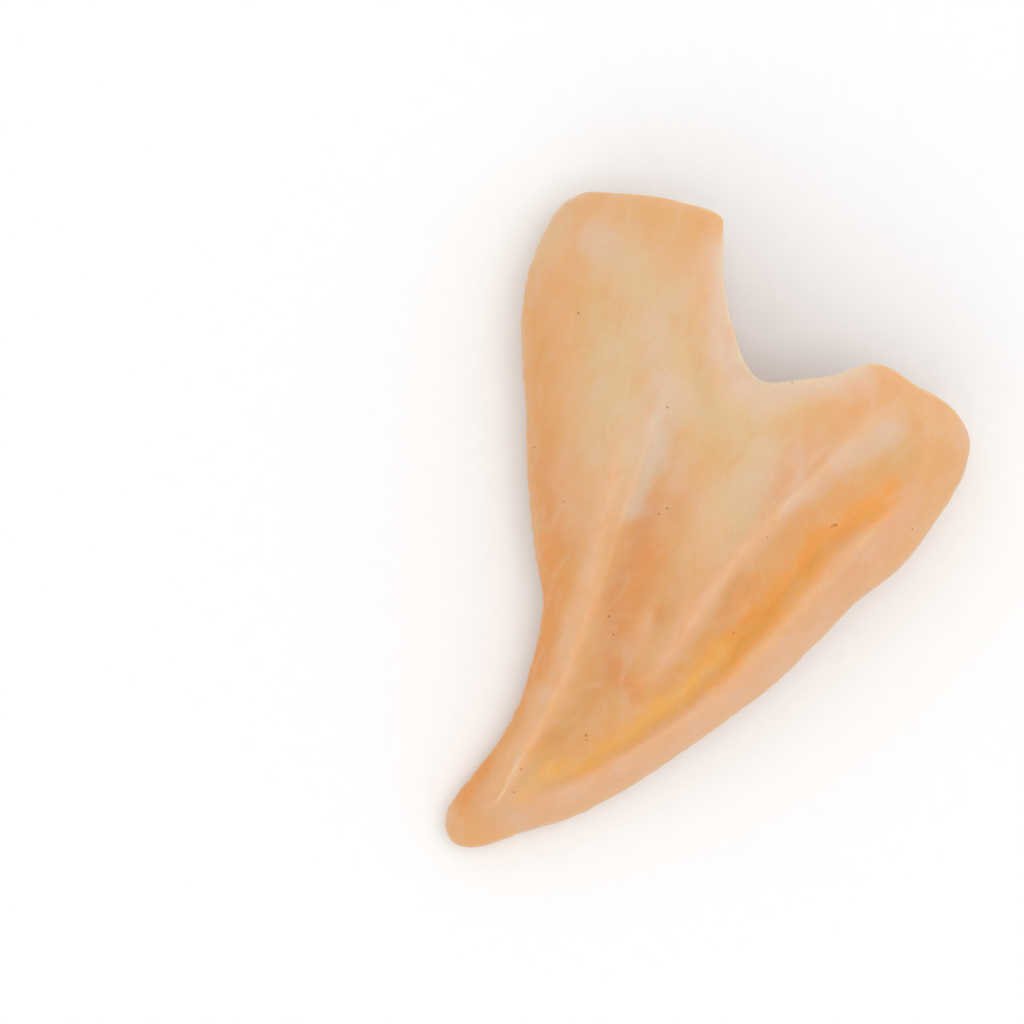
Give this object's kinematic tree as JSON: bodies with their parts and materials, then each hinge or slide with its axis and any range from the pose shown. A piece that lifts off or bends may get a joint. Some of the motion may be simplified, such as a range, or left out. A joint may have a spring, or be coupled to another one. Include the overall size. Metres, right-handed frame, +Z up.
{
  "type": "elf ear tip",
  "caption": "Slip-on elf ear tip: a hollow moulded latex shell with a folded face, a rolled leading rim, a long curved point and an open, notched mouth.",
  "frame": {"origin": "under the middle of the shell's bounding box, on the surface that it lies on", "axes": "+Y from the point towards the open mouth, +X towards the leading edge with the thick rim, +Z up out of the sculpted face"},
  "size_m": [0.0744, 0.1032, 0.0225],
  "materials": {
    "latex": "satin flesh-toned latex"
  },
  "bodies": {
    "root": {"ear_tip": "latex"}
  },
  "joints": []
}
